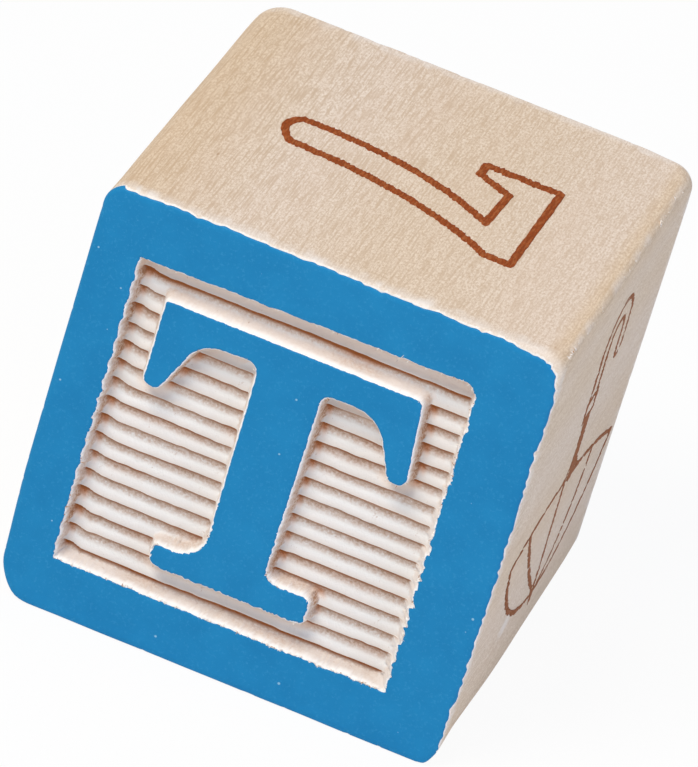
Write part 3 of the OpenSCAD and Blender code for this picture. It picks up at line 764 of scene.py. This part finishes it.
# The walls: white fibres at the rim, browner and more streaked the deeper
sunk = node(tree, "Attribute", attribute_name="sunk")
patch = node(tree, "MapRange", {"Value": fine.outputs["Fac"], "From Min": 0.3, "From Max": 0.7,
                                "To Min": 0.6, "To Max": 1.3})
sunk_root = node(tree, "Math", {0: sunk.outputs["Fac"], 1: 0.4}, operation="POWER")
wall_patch = node(tree, "Math", {0: sunk_root.outputs[0], 1: patch.outputs[0]}, operation="MULTIPLY")
wall_burnt = node(tree, "Math", {0: burnt.outputs["Fac"], 1: 0.65, 2: 0.05}, operation="MULTIPLY_ADD")
wall_depth = node(tree, "Math", {0: wall_patch.outputs[0], 1: wall_burnt.outputs[0]}, operation="MULTIPLY")
wall_colour = node(tree, "ValToRGB", {0: wall_depth.outputs[0]}, wall_stops)
# Painted bounce light on the walls that face down too
under_share = node(tree, "Math", {0: under.outputs["Fac"], 1: 0.75}, operation="MULTIPLY")
wall_bounce_lit = node(tree, "Mix", {0: under_share.outputs[0], 6: wall_colour.outputs[0], 7: grain_painted_bounce},
                 data_type="RGBA")
wall = node(tree, "Attribute", attribute_name="wall")
carved = node(tree, "Mix", {0: wall.outputs["Fac"], 6: ground.outputs[2], 7: wall_bounce_lit.outputs[2]},
              data_type="RGBA")
rim = node(tree, "Attribute", attribute_name="rim")
rimmed = node(tree, "Mix", {0: rim.outputs["Fac"], 6: carved.outputs[2], 7: grain_white},
              data_type="RGBA")
# Scattered scorched specks
specks = node(tree, "TexNoise", {"Vector": fibres, "Scale": 1.5, "Detail": 5, "Roughness": 0.8})
speck_share = node(tree, "MapRange", {"Value": specks.outputs["Fac"], "From Min": 0.63, "From Max": 0.72,
                                      "To Max": 0.55})
speckled = node(tree, "Mix", {0: speck_share.outputs[0], 6: rimmed.outputs[2], 7: grain_brown},
                data_type="RGBA")
bump = node(tree, "Bump", {"Height": fine.outputs["Fac"], "Strength": 0.6, "Distance": 0.00012})
skin = node(tree, "BsdfPrincipled", {"Base Color": speckled.outputs[2], "Roughness": 0.85, "IOR": 1.5,
                                     "Specular IOR Level": 0.15, "Normal": bump.outputs[0]})
node(tree, "OutputMaterial", {"Surface": skin.outputs[0]})

carving("front_carving", "front", front_seed)
carving("back_carving", "back", back_seed)


# Frame paint. A coat of satin toy paint rolled on each raised frame. It ends at the torn rim of
# the panel and wanders along the outer rim, worn back to the wood in places. On the front it
# laps round the left and the bottom.
paint_blue = shade("#1F86BD")
paint_light = shade("#3C98C9")
paint_deep = shade("#1B7FB6")
paint_speck = shade("#9CCBE2")

# Water-based satin toy paint: a strong even blue with slow clouds from the roller, fine grit, a
# faint peel that softens its shine, and a few specks of pale dust
blue_paint = bpy.data.materials.new("rolled_satin_paint")
tree = emptied(blue_paint)
place = node(tree, "TexCoord").outputs["Object"]
in_mm = node(tree, "Mapping", {"Vector": place, "Scale": (1000, 1000, 1000)}).outputs[0]
clouds = node(tree, "TexNoise", {"Vector": in_mm, "Scale": 0.3, "Detail": 3, "Roughness": 0.6})
grit = node(tree, "TexNoise", {"Vector": in_mm, "Scale": 3.5, "Detail": 3, "Roughness": 0.65})
cloud_share = node(tree, "MapRange", {"Value": clouds.outputs["Fac"], "From Min": 0.3, "From Max": 0.7})
base = node(tree, "Mix", {0: cloud_share.outputs[0], 6: paint_deep, 7: paint_blue}, data_type="RGBA")
grit_share = node(tree, "MapRange", {"Value": grit.outputs["Fac"], "From Min": 0.55, "From Max": 0.75,
                                     "To Max": 0.5})
gritty = node(tree, "Mix", {0: grit_share.outputs[0], 6: base.outputs[2], 7: paint_light},
              data_type="RGBA")
# Dust of up to 0.3 mm under the paint, in one of five cells of 3 mm
aside = node(tree, "SeparateXYZ", {"Vector": in_mm})
on_end = node(tree, "CombineXYZ", {"X": aside.outputs["X"], "Y": aside.outputs["Z"]})
dust = node(tree, "TexVoronoi", {"Vector": on_end.outputs[0], "Scale": 0.33, "Randomness": 1},
            voronoi_dimensions="2D")
picked = node(tree, "SeparateColor", {"Color": dust.outputs["Color"]})
dust_size = node(tree, "MapRange", {"Value": picked.outputs[0], "From Min": 0.82, "To Max": 0.05})
in_dust = node(tree, "Math", {0: dust_size.outputs[0], 1: dust.outputs["Distance"]}, operation="SUBTRACT")
dust_kept = node(tree, "MapRange", {"Value": in_dust.outputs[0], "From Max": 0.015, "To Max": 0.75})
dusty = node(tree, "Mix", {0: dust_kept.outputs[0], 6: gritty.outputs[2], 7: paint_speck},
             data_type="RGBA")
peel = node(tree, "TexNoise", {"Vector": in_mm, "Scale": 1.6, "Detail": 3, "Roughness": 0.55})
bump = node(tree, "Bump", {"Height": peel.outputs["Fac"], "Strength": 0.35, "Distance": 0.00006})
skin = node(tree, "BsdfPrincipled", {"Base Color": dusty.outputs[2], "Roughness": 0.5, "IOR": 1.48,
                                     "Specular IOR Level": 0.12, "Normal": bump.outputs[0]})
node(tree, "OutputMaterial", {"Surface": skin.outputs[0]})

# The coat's usual height over the land, the width of its inner lip and how far round the rim it
# can lap. The plain rectangle that the torn rim is sought from: how far it lies inside the
# panel, its corner radius and the number of steps
coat_thick = paint_thick - 0.03
coat_lip = 0.14
most_lap = radians(86)
plain_inset = 0.6
plain_corner = 0.25
rim_tries = 12


def panel_edge(seed):
    """The panel's torn rim by station: a plain rectangle, each station of which steps outwards
    by the field's value there until it lies on the zero of panel_inside."""
    plain = ring(panel_middle_u, panel_middle_v, panel_half_w - plain_inset, panel_half_h - plain_inset,
                 np.full((1, 4), plain_corner))[0]
    gone = np.zeros((stations, 1))
    for _ in range(rim_tries):
        u, v = (plain + station_out * gone).T
        gone = gone + panel_inside(u, v, seed)[:, None]
    return plain + station_out * gone


def frame_coat(name, face, rim, reach, seed, node_name):
    """A closed ring of paint: up from the panel's rim, across the land and over the outer rim."""
    sign = -1 if face == "front" else 1
    order = np.arange(stations) if face == "front" else mirrored
    corners = [0, 1, 2, 3] if face == "front" else [1, 0, 3, 2]
    at_end = np.full(1, sign * land)
    radii = long_radii(at_end)[:, corners]
    side = half - side_wear(at_end)[:, order]
    rim, reach = rim[order], reach[order]
    bare = 0.06 + 0.05 * around(0.5, seed + 31)
    edge = panel_edge(seed) + station_out * bare[:, None]
    short = np.clip(-reach, 0, None)
    turned = np.minimum(np.clip(reach, 0, None) / rim, most_lap)
    outer = ring(0, 0, side - rim - short, side - rim - short, radii, rim + short)[0]
    inner = edge + station_out * coat_lip
    flat = [edge, edge, edge + station_out * 0.04, inner]
    tall = [np.full(stations, at) for at in (-0.04, 0.05, 0.1, coat_thick)]
    for share in (0.1, 0.3, 0.5, 0.7, 0.9):
        flat.append(inner * (1 - share) + outer * share)
        tall.append(coat_thick - 0.01 * (1 + patchy(flat[-1][:, 0] / 3, flat[-1][:, 1] / 3, seed + 32)))
    for share in (0, 0.25, 0.5, 0.75, 1):
        angle = np.pi / 2 - turned * share
        radius = rim + coat_thick * (1 - share) ** 1.5 + 0.016
        inset = rim + short * (1 - share * 0.06) - radius * np.cos(angle)
        flat.append(ring(0, 0, side - inset, side - inset, radii, inset)[0])
        tall.append(radius * np.sin(angle) - rim)
    flat.append(flat[-1] - station_out * 0.04)
    tall.append(tall[-1] - 0.06)
    flat = np.stack(flat)
    tall = np.minimum(np.stack(tall), coat_thick)
    points = on_face(face, flat[..., 0], flat[..., 1], tall - paint_thick)
    quads = grid_faces(*flat.shape[:2], closed_rows=True, closed_columns=True)[:, [0, 3, 2, 1]]
    made = piece(name, points, quads, [], blue_paint)
    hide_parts(node_name)
    return made


frame_coat("front_frame_coat", "front", front_rim, front_reach, front_seed, "front_frame_paint")
frame_coat("back_frame_coat", "back", back_rim, back_reach, back_seed, "back_frame_paint")


# Letter paint. The same coat, rolled on the letter in one pass with the frame. It stops a hair
# short of the torn edge, where white fibres show.
def film(name, face, field, low, high, step, base, top, material, tints={}):
    """A coat over the part of a grid where a field is positive, with its edge on the field's
    zero: base is the height below, top a function of the field."""
    u, v = np.meshgrid(np.arange(low[0], high[0], step), np.arange(low[1], high[1], step), indexing="ij")
    a, b, c, d = grid_faces(*u.shape)[:, [0, 3, 2, 1]].T
    u, v, here_flat = (found.ravel() for found in snapped(field, u, v, step))
    other = (here_flat[a] * here_flat[c] < 0)[:, None]
    first = np.where(other, np.stack([a, b, d], -1), np.stack([a, b, c], -1))
    second = np.where(other, np.stack([b, c, d], -1), np.stack([a, c, d], -1))
    faces_kept = np.concatenate([first, second])
    value = here_flat[faces_kept]
    faces_kept = faces_kept[(value >= 0).all(1) & (value > 0).any(1)]
    used, faces_kept = np.unique(faces_kept, return_inverse=True)
    faces_kept = faces_kept.reshape(-1, 3)
    count = len(used)
    u, v, depth = u[used], v[used], here_flat[used]
    upper = on_face(face, u, v, top(depth, u, v))
    lower = on_face(face, u, v, np.full(count, base))
    edges = faces_kept[:, [[0, 1], [1, 2], [2, 0]]].reshape(-1, 2).astype(np.int64)
    open_edges = edges[~np.isin(edges @ (count, 1), edges @ (1, count))]
    start, end = open_edges.T
    skirt = np.stack([end, start, start + count, end + count], -1)
    triangles = np.concatenate([faces_kept, faces_kept[:, ::-1] + count])
    tints = {tint: np.full(2 * count, value) for tint, value in tints.items()}
    return piece(name, np.concatenate([upper, lower]), skirt, triangles, material, tints)


letter_low, letter_high = (-14.4, -13.7), (12.1, 13.3)
letter_step = 0.115


def letter_coat(name, face, seed, node_name):
    """Paint over the letter's land: rounded over its last 0.12 mm, and a hair short of the edge."""
    def field(u, v):
        return letter_inside(u, v, seed) - 0.07 - 0.03 * patchy(u / 0.4, v / 0.4, seed + 41)

    def top(depth, u, v):
        rounded = np.sqrt(np.clip(1 - (1 - np.clip(depth / 0.12, 0, 1)) ** 2, 0, 1))
        waves = 0.01 * (1 + patchy(u / 3, v / 3, seed + 42))
        return -paint_thick + 0.04 + (coat_thick - 0.04) * rounded - waves

    made = film(name, face, field, letter_low, letter_high, letter_step, -paint_thick - 0.04, top,
                blue_paint)
    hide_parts(node_name)
    return made


letter_coat("front_letter_coat", "front", front_seed, "front_letter_paint")
letter_coat("back_letter_coat", "back", back_seed, "back_letter_paint")


# Torn fibres. Loose ends of the same wood that still hang at the torn rims, some of them over
# the paint, and small shavings along the block's top right edge, the largest at its front.
fibre_white = shade("#F7EFE6")
fibre_brown = shade("#B07A4E")

# Torn basswood fibre: dry, matt and white, with a few ends scorched brown
loose_fibre = bpy.data.materials.new("torn_fibre")
tree = emptied(loose_fibre)
tone = node(tree, "Attribute", attribute_name="tone")
tinted = node(tree, "Mix", {0: tone.outputs["Fac"], 6: fibre_white, 7: fibre_brown}, data_type="RGBA")
skin = node(tree, "BsdfPrincipled", {"Base Color": tinted.outputs[2], "Roughness": 0.85, "IOR": 1.5,
                                     "Specular IOR Level": 0.15})
node(tree, "OutputMaterial", {"Surface": skin.outputs[0]})


def slivers(name, middle, along, side, tone):
    """Spindles: two tips at the middle -/+ along, and a four-sided waist a third of the way."""
    up = np.cross(along, side)
    up = up / np.linalg.norm(up, axis=1, keepdims=True) * np.linalg.norm(side, axis=1, keepdims=True)
    waist = middle - along / 3
    points = np.stack([middle - along, middle + along, waist + side, waist + up, waist - side,
                       waist - up], 1)
    fan = np.array([[0, 3, 2], [0, 4, 3], [0, 5, 4], [0, 2, 5], [1, 2, 3], [1, 3, 4], [1, 4, 5], [1, 5, 2]])
    triangles = np.arange(len(points))[:, None, None] * 6 + fan
    made = piece(name, points, [], triangles, loose_fibre, {"tone": np.repeat(tone, 6)})
    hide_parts("block_body")
    return made


def rim_fibres(name, face, seed, count=420):
    """Slivers at chance places of the panel's and the letter's rims, most of them low and right.
    They point every way and lie at the height of the paint."""
    chance = np.random.default_rng(seed)
    rims = np.concatenate([panel_edge(seed), letter_outline])
    spread = np.r_[np.ones(stations), np.full(len(letter_outline), 2.0)]
    spread = spread * (0.25 + ramp(-rims[:, 1], -4, 14) + ramp(rims[:, 0], 0, 12))
    place = rims[chance.choice(len(rims), count, p=spread / spread.sum())]
    place = place + chance.uniform(-0.12, 0.12, (count, 2))
    angle = chance.uniform(0, 2 * np.pi, count)
    length = 0.08 + chance.exponential(0.09, count)
    lift = chance.uniform(-0.04, 0.03, count)
    middle = on_face(face, place[:, 0], place[:, 1], np.full(count, -0.07) - np.abs(lift))
    tip = on_face(face, place[:, 0] + length * np.cos(angle), place[:, 1] + length * np.sin(angle),
                  np.full(count, -0.07) - np.abs(lift) + lift)
    along = tip - middle
    width = chance.uniform(0.03, 0.07, count)
    side = np.cross(along, np.array(faces[face][3], float))
    side = side / np.linalg.norm(side, axis=1, keepdims=True) * width[:, None]
    tone = np.where(chance.uniform(0, 1, count) < 0.12, 0.8, chance.uniform(0, 0.15, count))
    return slivers(name, middle, along, side, tone)


rim_fibres("front_fibres", "front", front_seed)
rim_fibres("back_fibres", "back", back_seed)


# The shavings behind the front corner: how many, at what depth, and which one is scorched
corner_shavings = 6
corner_y = -19.7
scorched_shaving = 3


def edge_shavings(name, seed, count=26):
    """Slivers along the top right long edge: the first and largest lie behind the front corner,
    and one of them is scorched."""
    chance = np.random.default_rng(seed)
    at_corner = np.arange(count) < corner_shavings
    y = np.where(at_corner, corner_y + chance.normal(0, 0.6, count), chance.uniform(-19, 20, count))
    bevel = chance.uniform(0.1, 0.9, count)
    inset = 0.36 + chance.uniform(-0.1, 0.14, count)
    middle = np.stack([half - inset * bevel, y, 2 * half - inset * (1 - bevel)], -1)
    size = (0.07 + chance.exponential(0.07, count) + 0.16 * at_corner)[:, None]
    along = chance.normal(0, 1, (count, 3)) * (1, 0.8, 1)
    along = along / np.linalg.norm(along, axis=1, keepdims=True) * size
    side = np.cross(along, chance.normal(0, 1, (count, 3)))
    side = side / np.linalg.norm(side, axis=1, keepdims=True) * (0.035 + 0.2 * size)
    middle = np.minimum(middle, np.array([half, 99, 2 * half]) - np.abs(along) - np.abs(side) - 0.03)
    return slivers(name, middle, along, side, np.where(np.arange(count) == scorched_shaving, 1, 0.08))


edge_shavings("corner_shavings", 400)


# Prints. Outline pictures stamped in thin rust-brown ink on the four sanded sides: the ink has
# crept along the grain, so its edges fray along Y.
ink_brown = shade("#9D4A1C")
ink_dark = shade("#783915")
ink_light = shade("#B87040")
ink_dull = shade("#946140")

# Thin stamping ink in bare wood: rust brown and matt, and streaked along the grain, because the
# pores drank more of it than the fibres between them
brown_ink = bpy.data.materials.new("stamped_brown_ink")
tree = emptied(brown_ink)
place = node(tree, "TexCoord").outputs["Object"]
# Ink lies in the wood's pores, paler on every proud fibre: streaks 0.2 mm wide along the grain
short = node(tree, "Mapping", {"Vector": place, "Scale": (1000, 400, 1000)}).outputs[0]
mottle = node(tree, "TexNoise", {"Vector": short, "Scale": 6, "Detail": 4, "Roughness": 0.75})
along = node(tree, "Mapping", {"Vector": place, "Scale": (1000, 200, 1000)}).outputs[0]
fibres = node(tree, "TexNoise", {"Vector": along, "Scale": 5, "Detail": 2, "Roughness": 0.6})
mottle_share = node(tree, "MapRange", {"Value": mottle.outputs["Fac"], "From Min": 0.35, "From Max": 0.65})
base = node(tree, "Mix", {0: mottle_share.outputs[0], 6: ink_dark, 7: ink_brown}, data_type="RGBA")
light_share = node(tree, "MapRange", {"Value": fibres.outputs["Fac"], "From Min": 0.48, "From Max": 0.62,
                                      "To Max": 0.45})
inked = node(tree, "Mix", {0: light_share.outputs[0], 6: base.outputs[2], 7: ink_light},
             data_type="RGBA")
# The pictures took less ink than the numerals, and are a duller brown
dull = node(tree, "Attribute", attribute_name="dull")
dulled = node(tree, "Mix", {0: dull.outputs["Fac"], 6: inked.outputs[2], 7: ink_dull}, data_type="RGBA")
bump = node(tree, "Bump", {"Height": mottle.outputs["Fac"], "Strength": 0.3, "Distance": 0.00005})
skin = node(tree, "BsdfPrincipled", {"Base Color": dulled.outputs[2], "Roughness": 0.75, "IOR": 1.5,
                                     "Specular IOR Level": 0.12, "Normal": bump.outputs[0]})
node(tree, "OutputMaterial", {"Surface": skin.outputs[0]})


def bend(start, pull, end, steps=14):
    """A curve from start to end, pulled towards a third point: a quadratic Bezier."""
    t = np.linspace(0, 1, steps)[:, None]
    return (1 - t) ** 2 * np.array(start) + 2 * t * (1 - t) * np.array(pull) + t ** 2 * np.array(end)


def arc(middle, radius, start, end, steps=16):
    """Points on an arc, from one angle to another in degrees."""
    angle = np.radians(np.linspace(start, end, steps))
    return np.array(middle) + radius * np.stack([np.cos(angle), np.sin(angle)], -1)


def bowed(start, end, bow, steps=16):
    """The arc from start to end that bows to the right of the way: r = (c^2 / 4 + bow^2) / 2 bow."""
    start, end = np.array(start, float), np.array(end, float)
    chord = np.linalg.norm(end - start)
    side = np.array([end[1] - start[1], start[0] - end[0]]) / chord
    radius = (chord ** 2 / 4 + bow ** 2) / (2 * bow)
    facing = np.degrees(np.arctan2(side[1], side[0]))
    reach = np.degrees(np.arcsin(chord / 2 / radius))
    return arc((start + end) / 2 + side * (bow - radius), radius, facing - reach, facing + reach, steps)


def turned_by(path, angle):
    """A path turned anticlockwise about the origin by an angle in degrees."""
    cosine, sine = np.cos(radians(angle)), np.sin(radians(angle))
    return np.array(path) @ np.array([[cosine, sine], [-sine, cosine]])


def stroke(u, v, path, wide, along):
    """Distance into a stroke along a path: half the width less the distance to the path, which
    counts for less along the grain, because the ink crept that way."""
    nearest = np.full(u.shape, 1e9)
    for start, end in zip(path[:-1], path[1:]):
        du, dv = end - start
        t = np.clip(((u - start[0]) * du + (v - start[1]) * dv) / (du * du + dv * dv + 1e-12), 0, 1)
        off_u = u - start[0] - t * du
        off_v = v - start[1] - t * dv
        crept = 0.5 * (off_u * along[0] + off_v * along[1]) ** 2
        nearest = np.minimum(nearest, np.sqrt(off_u ** 2 + off_v ** 2 - crept))
    return wide / 2 - nearest


# The figure seven, upright: its line goes round the outline once
numeral_path = np.concatenate([
    [(-6.96, 12.78), (-6.96, 5.41), (-4.89, 5.41), (-2.96, 8.81)],
    bend((3.63, 8.52), (-2.3, 1.48), (-2.15, -11.19)),
    bend((-2.15, -11.19), (-0.2, -13.4), (2.67, -11.11), 7),
    bend((2.67, -11.11), (2.89, 0.44), (8.15, 8.7)),
    [(9.19, 10.0), (9.26, 12.67), (-6.96, 12.78)],
])
numeral_line = 0.78

# The umbrella, upright about the middle of its rim's ends, spike up: each stroke and its width
canopy_half = 17.6
dome_high = 10.5
rim_high = 2.7
canopy_turn = -3.3
crown = (-0.9, 10.48)
picture_line = 0.56
canopy = (
    (bowed((canopy_half, 0), (-canopy_half, 0), dome_high, 40), picture_line),
    (bowed((-canopy_half, 0), (canopy_half, 0), rim_high, 20), picture_line),
    (bowed(crown, (-8.8, -2.04), 2.37), picture_line),
    (np.array([(1.76, -2.67), crown]), picture_line),
    (bowed((12.32, -1.4), crown, 0.53), picture_line),
    (np.array([crown, (-0.9, 11.6)]), picture_line),
    (bowed((2.9, -rim_high), (1.03, -5.45), 0.5), picture_line),
    (bowed((0.15, -5.63), (-2.9, -rim_high), 0.6), picture_line),
)
# The shaft, ferrule and crook, upright under the rim, before they lean
shaft_lean = 11.8
ferrule = [(-1.48, -7.22), (1.48, -7.22), (1.48, -9.28), (-1.48, -9.28), (-1.48, -7.22)]
crook = np.concatenate([[(1.03, -9.7)], arc((-3, -14.4), 4.03, 0, -180),
                        arc((-6, -11.4), 1.03, 180, 0, 8), arc((-3, -14.4), 1.97, -180, 0, 10),
                        [(-1.03, -9.7)]])
handle = ((np.array([(0, 0), (0, -6.8)]), 1.5), (np.array(ferrule), picture_line),
          (crook, picture_line))
leaned = tuple((turned_by(path, shaft_lean) + (0, -rim_high), wide) for path, wide in handle)
umbrella_strokes = tuple((turned_by(path, canopy_turn), wide) for path, wide in canopy + leaned)


# The step of the ink's grid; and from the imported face, the ink's height at its edge and its rise
# from there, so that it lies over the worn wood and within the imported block
print_step = 0.095
ink_edge, ink_rise = -0.013, 0.010


def print_on(name, face, strokes, turn, shift, grain, low, high, seed, thin, node_name):
    """A print's ink: strokes turned and shifted on the face, their edges frayed along the grain.
    Where the print is thin, proud fibres break its lines."""
    cosine, sine = np.cos(radians(turn)), np.sin(radians(turn))
    creep = (cosine, -sine) if grain == "u" else (sine, cosine)

    def field(u, v):
        along, across = (u, v) if grain == "u" else (v, u)
        fray = 0.14 * patchy(across / 0.12, along / 0.9, seed)
        fray = fray + 0.07 * patchy(across / 0.3, along / 0.6, seed + 1)
        moved_u = u + fray * (grain == "u") - shift[0]
        moved_v = v + fray * (grain == "v") - shift[1]
        a = moved_u * cosine + moved_v * sine
        b = moved_v * cosine - moved_u * sine
        uneven = 0.05 * patchy(across / 0.2, along / 0.8, seed + 2)
        uneven = uneven - 0.3 * thin * ramp(patchy(across / 0.17, along / 0.6, seed + 3), 0.1, 0.8)
        parts = [stroke(a, b, np.asarray(path), wide, creep) for path, wide in strokes]
        return np.maximum.reduce(parts) + uneven

    def top(depth, u, v):
        return ink_edge + ink_rise * ramp(depth, 0, 0.12)

    made = film(name, face, field, low, high, print_step, -0.08, top, brown_ink, {"dull": 0.75 * thin})
    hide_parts(node_name)
    return made


seven = ((numeral_path, numeral_line),)
# The numeral lies on its side on the top, and the umbrella stands on its spike
lying_low, lying_high = (-13.4, -10.2), (13.6, 8)
upright_low, upright_high = (-8, -13.4), (10.2, 13.6)
print_on("top_numeral", "top", seven, -90, (0, 0), "v", lying_low, lying_high, 301, 0, "top_numeral_ink")
print_on("left_numeral", "left", seven, 0, (0, 0), "u", upright_low, upright_high, 311, 0,
         "left_numeral_ink")
picture_shift = (2.1, -4.7)
picture_low, picture_high = (-17.2, -17.6), (20.2, 18.2)
print_on("right_umbrella", "right", umbrella_strokes, 180, picture_shift, "u", picture_low, picture_high,
         321, 1, "right_umbrella_ink")
print_on("bottom_umbrella", "bottom", umbrella_strokes, 180, picture_shift, "v", picture_low,
         picture_high, 331, 1, "bottom_umbrella_ink")
